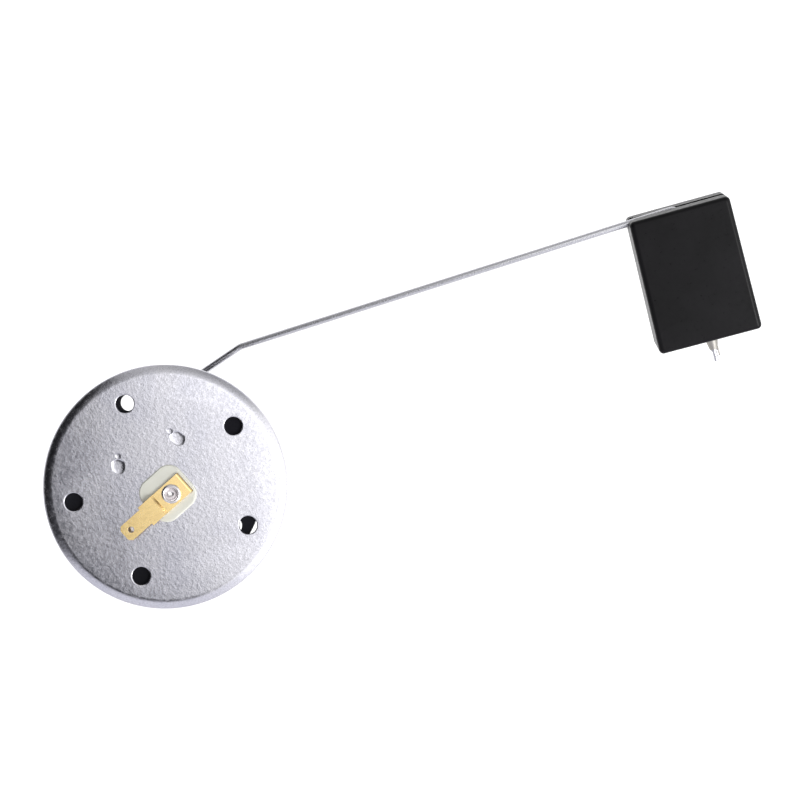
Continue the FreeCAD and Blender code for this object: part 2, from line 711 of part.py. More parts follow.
def make_bracket():
    body = new_body("sender_bracket")
    foot_start = LEG_FACE_Y - s.foot_length
    foot_under = FLANGE_UNDER - s.bracket_wall
    bottom = s.pivot_z - s.leg_below_pivot
    reach = LEG_FACE_Y + s.stop_reach

    def side(sketch):
        draw_outline(sketch, [
            (foot_start, foot_under), (LEG_BACK_Y, foot_under), (LEG_BACK_Y, bottom),
            (LEG_FACE_Y, bottom), (LEG_FACE_Y, FLANGE_UNDER), (foot_start, FLANGE_UNDER),
        ])
    extrude(body, "fold", "YZ_Plane", -HALF_FOOT, HALF_FOOT, side)
    round_edges(body, "inside_fold", s.fold_radius, line_along("x", y=LEG_BACK_Y, z=foot_under))
    round_edges(body, "outside_fold", FOLD_OUTSIDE,
                line_along("x", y=LEG_FACE_Y, z=FLANGE_UNDER))

    def leg_sides(sketch):
        for sign in (-1, 1):
            draw_box(sketch, HALF_LEG * sign, (HALF_FOOT + PAST) * sign, bottom - PAST,
                     foot_under - s.neck_drop)
    extrude(body, "leg_sides", "XZ_Plane", LEG_BACK_Y - PAST, LEG_FACE_Y + PAST, leg_sides,
            cut=True)
    round_edges(body, "leg_corners", s.leg_corner, any_of(
        line_along("y", x=HALF_LEG, z=bottom), line_along("y", x=-HALF_LEG, z=bottom)))
    round_edges(body, "foot_corners", s.leg_corner, any_of(
        line_along("z", x=HALF_FOOT, y=foot_start), line_along("z", x=-HALF_FOOT, y=foot_start)))

    # The upper stop's lower edge meets the wire at its highest, the lower stop's side edge
    # meets it at its lowest
    rise = s.arm_rest + s.arm_up
    fall = s.arm_down - s.arm_rest
    stop_low = (s.pivot_z + HALF_LEG * tangent(rise) + WIRE_RADIUS / cosine(rise)
                + s.stop_clearance)
    stop_high = stop_low + s.stop_height
    extrude(body, "upper_stop", "YZ_Plane", HALF_LEG - s.bracket_wall, HALF_LEG,
            lambda sketch: draw_box(sketch, LEG_BACK_Y, reach, stop_low, stop_high))
    round_edges(body, "upper_stop_fold", s.stop_fold,
                line_along("z", x=HALF_LEG - s.bracket_wall, y=LEG_FACE_Y))
    lower_top = bottom + s.bracket_wall
    wire_run = (s.pivot_z - lower_top) / tangent(fall)
    stop_side = s.pivot_x + wire_run - WIRE_RADIUS / sine(fall) - s.stop_clearance
    extrude(body, "lower_stop", "XZ_Plane", LEG_BACK_Y, reach,
            lambda sketch: draw_box(sketch, stop_side - s.stop_width, stop_side, bottom, lower_top))
    round_edges(body, "lower_stop_fold", s.stop_fold, line_along("x", y=LEG_FACE_Y, z=lower_top))

    def leg_holes(sketch):
        draw_circle(sketch, s.pivot_x, s.pivot_z, s.bush_od / 2 + s.bush_seat_clearance)
        for sign in (-1, 1):
            draw_circle(sketch, s.pivot_x + TRAY_RIVET_X * sign,
                        s.pivot_z + s.tray_rivet_above,
                        s.tray_rivet_radius + s.tray_rivet_clearance)
    extrude(body, "leg_holes", "XZ_Plane", LEG_BACK_Y - PAST, LEG_FACE_Y + PAST, leg_holes,
            cut=True)

    def clinch_holes(sketch):
        for sign in (-1, 1):
            draw_circle(sketch, *mark_point(sign, ZERO), s.clinch_radius + s.clinch_clearance)
    extrude(body, "clinch_holes", "XY_Plane", foot_under - PAST, FLANGE_UNDER + PAST,
            clinch_holes, cut=True)


def pivot_body(label):
    return new_body(label, s.pivot_x, ZERO, s.pivot_z)


def make_pivot_bush():
    body = pivot_body("pivot_bush")
    outside = s.bush_od / 2
    flange = s.bush_flange / 2
    revolve(body, "bush", "XY_Plane", [
        (BUSH_BORE_RADIUS, BUSH_NOSE_Y), (outside, BUSH_NOSE_Y), (outside, LEG_FACE_Y),
        (flange, LEG_FACE_Y), (flange, BUSH_FACE_Y), (BUSH_BORE_RADIUS, BUSH_FACE_Y),
    ])
    round_edges(body, "flange_edge", s.bush_flange_edge, ring_edge(flange, y=BUSH_FACE_Y),
                "PartDesign::Chamfer")


def make_spring_washer():
    body = pivot_body("spring_washer")
    outside = s.spring_od / 2
    inside = s.spring_bore / 2
    seat = BUSH_FACE_Y + s.spring_clearance
    revolve(body, "cone", "XY_Plane", [
        (inside, seat + s.spring_cone), (outside, seat), (outside, seat + s.spring_thickness),
        (inside, seat + s.spring_cone + s.spring_thickness),
    ])


def make_retaining_clip():
    body = pivot_body("retaining_clip")
    inside = WIRE_RADIUS + s.hub_clearance
    outside = s.clip_od / 2
    start = (BUSH_FACE_Y + s.spring_clearance + s.spring_cone + s.spring_thickness
             + s.clip_clearance)
    revolve(body, "ring", "XY_Plane", [
        (inside, start), (outside, start), (outside, start + s.clip_thickness),
        (inside, start + s.clip_thickness),
    ])

    def notches(sketch):
        middle = outside - s.clip_notch
        for angle in (Size(90), Size(210), Size(330)):
            draw_circle(sketch, middle * cosine(angle), middle * sine(angle), s.clip_notch / 2)
    extrude(body, "notches", "XZ_Plane", start - PAST, start + s.clip_thickness + PAST, notches,
            cut=True)


# Resistor

def make_resistor_frame():
    body = pivot_body("resistor_frame")
    half = s.tray_half_width

    def block(sketch):
        draw_box(sketch, -half, half, -s.tray_below, s.tray_above)
    extrude(body, "block", "XZ_Plane", TRAY_OPEN_Y, LEG_BACK_Y, block)
    round_edges(body, "corners", s.tray_corner, line_along("y"))

    def hollow(sketch):
        draw_box(sketch, s.tray_wall - half, half - s.tray_wall, s.tray_wall - s.tray_below,
                 s.tray_above - s.tray_wall)
    extrude(body, "hollow", "XZ_Plane", TRAY_OPEN_Y - PAST, TRAY_FLOOR_Y, hollow, cut=True)
    inner_x = half - s.tray_wall
    round_edges(body, "hollow_corners", s.tray_corner - s.tray_wall, any_of(
        line_along("y", x=inner_x), line_along("y", x=-inner_x)))

    def post_corner(side, radial, across):
        angle = Size(270) + s.post_angle * side
        along = s.card_radius + s.post_half_radial * radial
        sideways = s.post_half_across * across
        return (along * cosine(angle) - sideways * sine(angle),
                along * sine(angle) + sideways * cosine(angle))

    def posts(sketch):
        for side in (-1, 1):
            draw_outline(sketch, [post_corner(side, radial, across) for radial, across in
                                  ((-1, -1), (1, -1), (1, 1), (-1, 1))])
    post_top = CARD_TOP_Y - s.post_rise
    extrude(body, "card_posts", "XZ_Plane", post_top, TRAY_FLOOR_Y, posts)

    def card_groove(sketch):
        half_gap = s.card_thickness / 2 + s.card_clearance
        draw_circle(sketch, ZERO, ZERO, s.card_radius + half_gap)
        draw_circle(sketch, ZERO, ZERO, s.card_radius - half_gap)
    extrude(body, "card_groove", "XZ_Plane", post_top - PAST, CARD_FOOT_Y + s.card_clearance,
            card_groove, cut=True)
    boss_nose = TRAY_FLOOR_Y - s.boss_height
    extrude(body, "boss", "XZ_Plane", boss_nose, TRAY_FLOOR_Y,
            lambda sketch: draw_circle(sketch, ZERO, ZERO, s.boss_radius))
    feed_x = s.terminal_x - s.pivot_x
    extrude(body, "feed_post", "XZ_Plane", STRIP_BACK_Y, TRAY_FLOOR_Y,
            lambda sketch: draw_circle(sketch, feed_x, s.feed_post_above, s.feed_post_radius))

    def holes(sketch):
        draw_circle(sketch, ZERO, ZERO, s.bush_od / 2 + s.bush_seat_clearance)
        for sign in (-1, 1):
            draw_circle(sketch, TRAY_RIVET_X * sign, s.tray_rivet_above,
                        s.tray_rivet_radius + s.tray_rivet_clearance)
    extrude(body, "holes", "XZ_Plane", boss_nose - PAST, LEG_BACK_Y + PAST, holes, cut=True)
    extrude(body, "feed_hole", "XZ_Plane", STRIP_BACK_Y - PAST, TRAY_FLOOR_Y,
            lambda sketch: draw_circle(sketch, feed_x, s.feed_post_above,
                                       s.feed_rivet_radius + s.feed_rivet_clearance), cut=True)


def make_tray_rivets():
    body = new_body("tray_rivet", s.pivot_x + TRAY_RIVET_X, ZERO, s.pivot_z + s.tray_rivet_above)
    pieces.remove(body)
    head = s.tray_rivet_head_radius
    shank = s.tray_rivet_radius
    front = TRAY_FLOOR_Y - s.tray_rivet_head_height
    back = LEG_FACE_Y + s.tray_rivet_head_height
    revolve(body, "rivet", "XY_Plane", [
        (ZERO, front), (head, front), (head, TRAY_FLOOR_Y), (shank, TRAY_FLOOR_Y),
        (shank, LEG_FACE_Y), (head, LEG_FACE_Y), (head, back), (ZERO, back),
    ])
    round_edges(body, "head_edges", s.tray_rivet_head_edge,
                any_of(ring_edge(head, y=front), ring_edge(head, y=back)), "PartDesign::Chamfer")
    other = doc.addObject("Part::Mirroring", "other_tray_rivet")
    other.Source = body
    other.Normal = Vector(1, 0, 0)
    other.setExpression("Base.x", s.pivot_x.formula)
    pair = doc.addObject("Part::Compound", "frame_rivets")
    pair.Links = [body, other]
    pair.Label = "frame_rivets"
    pieces.append(pair)


def sector_body(label, half_angle):
    """A body whose +X points at the start of a sector that is centred straight down."""
    body = pivot_body(label)
    turned(body, Vector(0, 1, 0), Size(90) - half_angle)
    return body


def card_outline(grow, top, foot):
    half = s.card_thickness / 2 + grow
    inside = s.card_radius - half
    outside = s.card_radius + half
    return [(inside, top), (outside, top), (outside, foot), (inside, foot)]


def make_resistor_card():
    body = sector_body("resistor_card", s.card_half_angle)
    revolve(body, "card", "XY_Plane", card_outline(ZERO, CARD_TOP_Y, CARD_FOOT_Y),
            s.card_half_angle * 2)


def make_resistance_winding():
    body = sector_body("resistance_winding", s.winding_half_angle)
    core = s.card_clearance + s.winding_core
    ridge = core + s.winding_ridge
    sweep = s.winding_half_angle * 2
    revolve(body, "core", "XY_Plane",
            card_outline(core, CARD_TOP_Y - core, CARD_FOOT_Y + core), sweep)
    turn = revolve(body, "turn", "XY_Plane",
                   card_outline(ridge, CARD_TOP_Y - ridge, CARD_FOOT_Y + ridge), s.ridge_angle)
    turns = body.newObject("PartDesign::PolarPattern", "turns")
    turns.Originals = [turn]
    turns.Axis = (origin_feature(body, "Y_Axis"), [""])
    turns.setExpression("Angle", (sweep - s.ridge_angle).formula)
    turns.setExpression("Occurrences", s.winding_turns.formula)
    body.Tip = turns
    doc.recompute()
    gap = s.card_clearance
    revolve(body, "card_slot", "XY_Plane",
            card_outline(gap, CARD_TOP_Y - gap, CARD_FOOT_Y + gap), sweep, cut=True)


# Wires

def rounded_path(points, radii):
    """Straight runs through the points, with an arc of the given radius at each inner point."""
    edges = []
    start = points[0]
    for before, corner, after, radius in zip(points, points[1:], points[2:], radii):
        back = (before - corner).normalize()
        on = (after - corner).normalize()
        half_turn = (math.pi - back.getAngle(on)) / 2
        setback = radius * math.tan(half_turn)
        first = corner + back * setback
        last = corner + on * setback
        inwards = (back + on).normalize()
        middle = corner + inwards * (radius / math.cos(half_turn) - radius)
        edges.append(Part.LineSegment(start, first).toShape())
        edges.append(Part.Arc(first, middle, last).toShape())
        start = last
    edges.append(Part.LineSegment(start, points[-1]).toShape())
    return Part.Wire(edges)


def swept_wire(points, radii, diameter):
    path = rounded_path(points, radii)
    first = points[1] - points[0]
    circle = Part.Wire([Part.makeCircle(diameter / 2, points[0], first)])
    return path.makePipeShell([circle], True, False)


def new_feature(label, shape):
    feature = doc.addObject("Part::Feature", label)
    feature.Label = label
    feature.Shape = shape
    pieces.append(feature)
    return feature


def direction(angle):
    return Vector(cosine(angle).value, sine(angle).value, 0)


# The arm's own plane holds the pivot's axis (Y) and the wire's two long runs. At rest it is
# raised by arm_rest about that axis.
ARM_PLACE = Placement(Vector(s.pivot_x.value, 0, s.pivot_z.value),
                      Rotation(Vector(0, 1, 0), -s.arm_rest.value))
ELBOW = Vector(0, ELBOW_Y.value, 0)
FIRST_BEND = ELBOW + direction(s.first_angle) * s.first_reach.value
LEG_BEND = FIRST_BEND + direction(s.long_angle) * s.long_reach.value
FLOAT_BOTTOM = s.float_cover - s.float_height
LEG_LENGTH = s.leg_past_float - FLOAT_BOTTOM
LEG_TURN = (Rotation(Vector(0, 0, 1), s.leg_turn.value)
            * Rotation(Vector(1, 0, 0), s.leg_tilt.value))
FLOAT_PLACE = ARM_PLACE * Placement(LEG_BEND, LEG_TURN)


def make_float_arm():
    shaft_end = Vector(0, LEAF_BACK_Y.value - s.shaft_proud.value, 0)
    leg_end = LEG_BEND + LEG_TURN.multVec(Vector(0, -LEG_LENGTH.value, 0))
    flat = [shaft_end, ELBOW, FIRST_BEND, LEG_BEND, leg_end]
    points = [ARM_PLACE.multVec(point) for point in flat]
    radii = [s.elbow_radius.value, s.bend_radius.value, s.leg_bend_radius.value]
    wire = swept_wire(points, radii, s.wire_diameter.value)
    tip = Part.makeCylinder(s.wire_tip_diameter.value / 2, s.wire_tip_length.value, points[-1],
                            points[-1] - points[-2])
    new_feature("float_arm", wire.fuse(tip).removeSplitter())


def make_winding_lead():
    """The enamelled wire from the feed strip's tail to the winding's first turn."""
    radius = s.lead_diameter.value / 2
    x = s.terminal_x.value + s.strip_width.value / 4
    tag_end = TAG_END_Z.value
    solder_y = STRIP_BACK_Y.value + radius
    side_x = (s.pivot_x.value + s.tray_half_width.value - s.tray_wall.value
              - s.lead_diameter.value)
    deep_y = CARD_TOP_Y.value + s.lead_diameter.value
    last = math.radians(270 + s.winding_half_angle.value - s.lead_inset.value)
    outer = (s.card_radius.value + s.card_thickness.value / 2 + s.winding_core.value
             + s.winding_ridge.value + s.card_clearance.value + radius + s.lead_clearance.value)
    end = Vector(s.pivot_x.value + outer * math.cos(last), deep_y,
                 s.pivot_z.value + outer * math.sin(last))
    points = [
        Vector(x, solder_y, tag_end + s.strip_tag.value - s.lead_diameter.value),
        Vector(x, solder_y, tag_end), Vector(side_x, deep_y, tag_end - s.lead_drop.value),
        Vector(side_x, deep_y, end.z - s.post_half_across.value), end,
    ]
    new_feature("winding_lead", swept_wire(points, [s.lead_bend.value] * 3, s.lead_diameter.value))


# Wiper

def wiper_body(label):
    body = pivot_body(label)
    turned(body, Vector(0, 1, 0), s.wiper_angle)
    return body


def make_wiper_hub():
    body = wiper_body("wiper_hub")
    bore = WIRE_RADIUS + s.hub_clearance
    revolve(body, "hub", "XY_Plane", [
        (bore, HUB_FRONT_Y), (s.hub_radius, HUB_FRONT_Y), (s.hub_radius, HUB_BACK_Y),
        (bore, HUB_BACK_Y),
    ])


def make_wiper_arm():
    body = wiper_body("wiper_arm")
    half = s.leaf_width / 2
    tip_half = s.leaf_tip_width / 2
    raised = HUB_FRONT_Y + s.leaf_rise

    def side(sketch):
        draw_outline(sketch, [
            (-s.leaf_tail, LEAF_BACK_Y), (s.leaf_step_start, LEAF_BACK_Y),
            (s.leaf_step_end, LEAF_BACK_Y + s.leaf_rise), (s.leaf_reach, LEAF_BACK_Y + s.leaf_rise),
            (s.leaf_reach, raised), (s.leaf_step_end, raised), (s.leaf_step_start, HUB_FRONT_Y),
            (-s.leaf_tail, HUB_FRONT_Y),
        ])
    extrude(body, "leaf", "XY_Plane", -half, half, side)

    def taper(sketch):
        for sign in (-1, 1):
            draw_outline(sketch, [
                (s.leaf_step_start, (half + PAST) * sign), (s.leaf_step_start, half * sign),
                (s.leaf_reach + PAST, tip_half * sign), (s.leaf_reach + PAST, (half + PAST) * sign),
            ])
    extrude(body, "taper", "XZ_Plane", LEAF_BACK_Y - PAST, raised + PAST, taper, cut=True)

    def cuts(sketch):
        draw_circle(sketch, ZERO, ZERO, WIRE_RADIUS + s.hub_clearance)
        draw_box(sketch, s.leaf_reach - s.finger_length, s.leaf_reach + PAST,
                 -s.finger_gap / 2, s.finger_gap / 2)
    extrude(body, "hole_and_fingers", "XZ_Plane", LEAF_BACK_Y - PAST, raised + PAST, cuts, cut=True)
    round_edges(body, "tail_corners", s.leaf_tail_corner, any_of(
        line_along("y", x=-s.leaf_tail, z=half), line_along("y", x=-s.leaf_tail, z=-half)))


def make_wiper_contacts():
    half_pitch = (s.finger_gap + s.leaf_tip_width) / 4
    start = HUB_FRONT_Y + s.leaf_rise
    ridge = s.card_clearance + s.winding_core + s.winding_ridge
    end = CARD_TOP_Y - ridge - s.contact_clearance
    radius = s.contact_radius
    buttons = []
    for number, sign in enumerate((-1, 1), start=1):
        body = wiper_body(f"contact_{number}")
        pieces.remove(body)
        extrude(body, "button", "XZ_Plane", start, end,
                lambda sketch: draw_circle(sketch, s.card_radius, half_pitch * sign, radius))
        round_edges(body, "edge", s.contact_edge, ring_edge(radius, y=end), "PartDesign::Chamfer")
        buttons.append(body)
    pair = doc.addObject("Part::Compound", "wiper_contacts")
    pair.Links = buttons
    pair.Label = "wiper_contacts"
    pieces.append(pair)


# Float

def float_body(label):
    """A body on the wire's last leg: +X along the float's slot, +Y back up the leg."""
    body = doc.addObject("PartDesign::Body", label)
    body.Label = label
    body.Placement = FLOAT_PLACE
    pieces.append(body)
    return body


def make_float():
    body = float_body("float")
    left = -s.float_inset
    right = s.float_length - s.float_inset
    half_depth = s.float_depth / 2
    half_slot = WIRE_RADIUS + s.slot_clearance
    slot_floor = -WIRE_RADIUS - s.slot_spare
    relief = s.leg_bend_radius + WIRE_RADIUS + s.slot_clearance
    half_mouth = s.mouth_width / 2
    mouth_end = left + s.mouth_length
    block = extrude(body, "block", "XZ_Plane", FLOAT_BOTTOM, s.float_cover,
                    lambda sketch: draw_box(sketch, left, right, -half_depth, half_depth))
    block.setExpression("TaperAngle", s.float_draft.formula)
    doc.recompute()
    round_edges(body, "edges", s.float_edge, lambda edge, centre, size: True)
    extrude(body, "wire_slot", "XY_Plane", -half_slot, half_slot,
            lambda sketch: draw_box(sketch, left - PAST, right + PAST, slot_floor,
                                    s.float_cover + PAST), cut=True)

    def mouth(sketch):
        draw_outline(sketch, [
            (left - PAST, slot_floor - PAST), (mouth_end, s.float_cover),
            (mouth_end, s.float_cover + PAST), (left - PAST, s.float_cover + PAST),
        ])
    extrude(body, "slot_mouth", "XY_Plane", -half_mouth, half_mouth, mouth, cut=True)
    extrude(body, "bend_relief", "XY_Plane", -half_slot, half_slot,
            lambda sketch: draw_box(sketch, -relief, half_slot, -relief, s.float_cover), cut=True)
    extrude(body, "bore", "XZ_Plane", FLOAT_BOTTOM - PAST, s.float_cover,
            lambda sketch: draw_circle(sketch, ZERO, ZERO, WIRE_RADIUS + s.float_bore_clearance),
            cut=True)


def make_float_retainer():
    body = float_body("float_retainer")
    bore = WIRE_RADIUS + s.cap_clearance
    top = FLOAT_BOTTOM - s.cap_clearance
    bottom = top - s.cap_height
    revolve(body, "cap", "XY_Plane", [
        (bore, top), (s.cap_flange_radius, top),
        (s.cap_flange_radius, top - s.cap_flange_thickness),
        (s.cap_shoulder_radius, top - s.cap_flange_thickness * 2),
        (s.cap_tip_radius, bottom), (bore, bottom),
    ])
    half = s.prong_width / 2
    extrude(body, "prong", "XY_Plane", -half, half,
            lambda sketch: draw_box(sketch, bore, bore + s.prong_thickness,
                                    bottom - s.prong_length, bottom + s.prong_thickness))


make_flange_cup()
make_gasket()
make_terminal_insulator()
make_inner_insulator()
make_spade_terminal()
make_terminal_rivet()
make_feed_strip()
make_feed_rivet()
make_bracket()
make_pivot_bush()
make_spring_washer()
make_retaining_clip()
make_resistor_frame()
make_tray_rivets()
make_resistor_card()
make_resistance_winding()
make_winding_lead()
make_float_arm()
make_wiper_hub()
make_wiper_arm()
make_wiper_contacts()
make_float()
make_float_retainer()
doc.recompute()

for item in doc.Objects:
    if "Invalid" in item.State or "Error" in item.State:
        raise RuntimeError(f"{item.Label} failed: {item.State}")
for piece in pieces:
    if piece.Shape.isNull() or not piece.Shape.isValid() or not piece.Shape.Solids:
        raise RuntimeError(f"{piece.Label} has no valid solid")

os.makedirs("parts", exist_ok=True)
for piece in pieces:
    piece.Shape.exportStep(f"parts/{piece.Label}.step")
    print(f"{piece.Label}: {len(piece.Shape.Solids)} solid(s), {piece.Shape.Volume:.1f} mm3")
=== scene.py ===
import json
import math

import bmesh
import bpy
from mathutils import Matrix, Vector


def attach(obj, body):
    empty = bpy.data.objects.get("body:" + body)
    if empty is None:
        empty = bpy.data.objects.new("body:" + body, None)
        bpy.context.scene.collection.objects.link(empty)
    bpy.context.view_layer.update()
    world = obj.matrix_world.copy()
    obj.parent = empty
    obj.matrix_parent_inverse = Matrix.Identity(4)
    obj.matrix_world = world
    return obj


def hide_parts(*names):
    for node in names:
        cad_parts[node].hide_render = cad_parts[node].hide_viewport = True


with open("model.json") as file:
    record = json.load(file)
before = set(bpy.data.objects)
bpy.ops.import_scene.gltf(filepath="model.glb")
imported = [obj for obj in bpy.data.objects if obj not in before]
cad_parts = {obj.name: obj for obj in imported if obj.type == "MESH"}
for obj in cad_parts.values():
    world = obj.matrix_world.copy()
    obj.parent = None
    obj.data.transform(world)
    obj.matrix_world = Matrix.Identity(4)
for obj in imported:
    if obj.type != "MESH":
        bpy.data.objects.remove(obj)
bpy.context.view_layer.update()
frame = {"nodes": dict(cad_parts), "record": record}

# A tank sender seen from above its flange. Lengths are in metres, in the CAD model's frame:
# +Z out of the tank, +X towards the float. Sizes written in millimetres are turned by MM.

MM = 0.001
NODES = frame["nodes"]
FLOOR_Z = -0.215  # under the float at its lowest

# The stamped marks on the flange, in millimetres and degrees
MARK_X, MARK_Y, MARK_LEAN = 9.65, 11.15, 22.5
MARK_STRETCH, MARK_RADIUS, MARK_DEPTH = 0.35, 2.0, 0.2
DOT_DISTANCE, DOT_RADIUS, DOT_DEPTH = 3.1, 0.95, 0.3


# Node tree helpers

def new_material(name):
    material = bpy.data.materials.new(name)
    material.use_nodes = True
    tree = material.node_tree
    shader = tree.nodes["Principled BSDF"]
    return material, tree, shader


def add_node(tree, kind, inputs=None, **settings):
    node = tree.nodes.new(kind)
    for key, value in settings.items():
        setattr(node, key, value)
    for key, value in (inputs or {}).items():
        if isinstance(value, bpy.types.NodeSocket):
            tree.links.new(value, node.inputs[key])
        else:
            node.inputs[key].default_value = value
    return node


def object_coordinates(tree):
    return add_node(tree, "ShaderNodeTexCoord").outputs["Object"]


def noise(tree, vector, scale, detail=4.0, roughness=0.55):
    return add_node(tree, "ShaderNodeTexNoise", {
        "Vector": vector, "Scale": scale, "Detail": detail, "Roughness": roughness,
    }).outputs["Fac"]


def ramp(tree, factor, stops):
    """A colour ramp through (position, colour) stops."""
    node = add_node(tree, "ShaderNodeValToRGB", {"Fac": factor})
    elements = node.color_ramp.elements
    while len(elements) < len(stops):
        elements.new(0.5)
    for element, (position, colour) in zip(elements, stops):
        element.position = position
        element.color = (*colour, 1.0)
    return node.outputs["Color"]


def remap(tree, value, from_low, from_high, to_low, to_high):
    return add_node(tree, "ShaderNodeMapRange", {
        "Value": value, "From Min": from_low, "From Max": from_high,
        "To Min": to_low, "To Max": to_high,
    }).outputs["Result"]


def math_node(tree, operation, first, second=None):
    inputs = {0: first} if second is None else {0: first, 1: second}
    return add_node(tree, "ShaderNodeMath", inputs, operation=operation).outputs[0]


def mix_colour(tree, factor, first, second, blend_type="MIX"):
    node = add_node(tree, "ShaderNodeMix", data_type="RGBA", blend_type=blend_type)
    for key, value in (("Factor", factor), ("A", first), ("B", second)):
        socket = [item for item in node.inputs if item.name == key and item.enabled][0]
        if isinstance(value, bpy.types.NodeSocket):
            tree.links.new(value, socket)
        else:
            socket.default_value = value if key == "Factor" else (*value, 1.0)
    return [item for item in node.outputs if item.enabled][0]


def bump(tree, shader, height, distance, strength=1.0, normal=None):
    inputs = {"Height": height, "Distance": distance, "Strength": strength}
    if normal:
        inputs["Normal"] = normal
    node = add_node(tree, "ShaderNodeBump", inputs)
    tree.links.new(node.outputs["Normal"], shader.inputs["Normal"])
    return node.outputs["Normal"]


# Materials

def soft_edges(tree, radius):
    """Normals that round a sharp edge a little, as stamping, moulding and plating do."""
    return add_node(tree, "ShaderNodeBevel", {"Radius": radius * MM}, samples=4).outputs["Normal"]


def zinc_plate(name, tone=(0.64, 0.635, 0.68), grain=0.011, rough=(0.16, 0.28)):
    """Zinc plating: a fine light and dark speckle over steel, with soft cloudy patches."""
    material, tree, shader = new_material(name)
    place = object_coordinates(tree)
    fine = noise(tree, place, 2300.0, 2.0, 0.6)
    coarse = noise(tree, place, 900.0, 2.0, 0.5)
    patches = noise(tree, place, 90.0, 3.0, 0.5)
    dark = tuple(channel * 0.86 for channel in tone)
    light = tuple(min(1.0, channel * 1.08) for channel in tone)
    speckle = ramp(tree, fine, [(0.30, dark), (0.5, tone), (0.70, light)])
    cloud = ramp(tree, patches, [(0.32, (0.90, 0.905, 0.93)), (0.62, (1.0, 1.0, 1.0))])
    colour = mix_colour(tree, 1.0, speckle, cloud, "MULTIPLY")
    tree.links.new(colour, shader.inputs["Base Color"])
    shader.inputs["Metallic"].default_value = 1.0
    tree.links.new(remap(tree, coarse, 0.3, 0.7, rough[1], rough[0]), shader.inputs["Roughness"])
    edges = soft_edges(tree, 0.12)
    waves = bump(tree, shader, coarse, grain * 2.4 * MM, 1.0, edges)
    bump(tree, shader, fine, grain * MM, 1.0, waves)
    return material


def plain_metal(name, colour, rough, speckle=0.06, grain_scale=900.0, dents=0.008):
    """A drawn, turned or stamped metal with a fine grain in its colour and finish."""
    material, tree, shader = new_material(name)
    place = object_coordinates(tree)
    grain = noise(tree, place, grain_scale, 3.0, 0.6)
    dark = tuple(channel * (1 - speckle * 2) for channel in colour)
    light = tuple(min(1.0, channel * (1 + speckle)) for channel in colour)
    tree.links.new(ramp(tree, grain, [(0.32, dark), (0.68, light)]), shader.inputs["Base Color"])
    shader.inputs["Metallic"].default_value = 1.0
    tree.links.new(remap(tree, grain, 0.3, 0.7, rough * 0.8, rough * 1.2),
                   shader.inputs["Roughness"])
    bump(tree, shader, grain, dents * MM, 0.5, soft_edges(tree, 0.08))
    return material


def rubber(name, colour, rough, grain_scale, depth, specular=0.3):
    material, tree, shader = new_material(name)
    place = object_coordinates(tree)
    grain = noise(tree, place, grain_scale, 4.0, 0.65)
    clouds = noise(tree, place, 60.0, 2.0)
    low = tuple(channel * 0.75 for channel in colour)
    high = tuple(channel * 1.3 for channel in colour)
    tree.links.new(ramp(tree, clouds, [(0.35, low), (0.65, high)]), shader.inputs["Base Color"])
    tree.links.new(remap(tree, grain, 0.3, 0.7, rough - 0.06, rough + 0.08),
                   shader.inputs["Roughness"])
    shader.inputs["Specular IOR Level"].default_value = specular
    bump(tree, shader, grain, depth * MM, 0.6)
    return material


def plastic(name, colour, rough, subsurface=0.0, radius=0.6):
    material, tree, shader = new_material(name)
    place = object_coordinates(tree)
    grain = noise(tree, place, 700.0, 3.0)
    clouds = noise(tree, place, 120.0, 2.0)
    low = tuple(channel * 0.95 for channel in colour)
    tree.links.new(ramp(tree, clouds, [(0.35, low), (0.65, colour)]), shader.inputs["Base Color"])
    tree.links.new(remap(tree, grain, 0.3, 0.7, rough - 0.05, rough + 0.05),
                   shader.inputs["Roughness"])
    shader.inputs["Subsurface Weight"].default_value = subsurface
    shader.inputs["Subsurface Radius"].default_value = (radius * MM, radius * MM, radius * MM)
    shader.inputs["Subsurface Scale"].default_value = 1.0
    bump(tree, shader, grain, 0.01 * MM, 0.4, soft_edges(tree, 0.2))
    return material


MATERIALS = {
    "zinc_steel": zinc_plate("zinc_steel"),
    "sponge_rubber": rubber("sponge_rubber", (0.006, 0.006, 0.008), 0.9, 1800.0, 0.06, 0.1),
    "nylon_natural": plastic("nylon_natural", (0.60, 0.60, 0.54), 0.42, 0.5, 1.2),
    "brass_strip": plain_metal("brass_strip", (1.0, 0.74, 0.35), 0.24, 0.03),
    "tinned_rivet": plain_metal("tinned_rivet", (0.72, 0.69, 0.70), 0.26),
    "bracket_steel": zinc_plate("bracket_steel", (0.58, 0.59, 0.62), 0.008),
    "bush_brass": plain_metal("bush_brass", (0.80, 0.58, 0.26), 0.28),
    "spring_steel": plain_metal("spring_steel", (0.48, 0.49, 0.51), 0.30),
    "moulded_tray": plastic("moulded_tray", (0.70, 0.68, 0.61), 0.45, 0.2, 0.5),
    "rivet_aluminium": plain_metal("rivet_aluminium", (0.72, 0.73, 0.74), 0.32),
    "card_laminate": plastic("card_laminate", (0.16, 0.07, 0.03), 0.5),
    "resistance_wire": plain_metal("resistance_wire", (0.55, 0.50, 0.45), 0.28),
    "copper_lead": plain_metal("copper_lead", (0.55, 0.20, 0.08), 0.25),
    "arm_wire": plain_metal("arm_wire", (0.56, 0.56, 0.59), 0.26, 0.05, 2600.0, 0.003),
    "leaf_bronze": plain_metal("leaf_bronze", (0.72, 0.46, 0.26), 0.28),
    "contact_silver": plain_metal("contact_silver", (0.85, 0.85, 0.83), 0.2),
    "float_foam": rubber("float_foam", (0.005, 0.0047, 0.0055), 0.32, 900.0, 0.010, 0.12),
    "cap_steel": plain_metal("cap_steel", (0.36, 0.345, 0.32), 0.45),
}


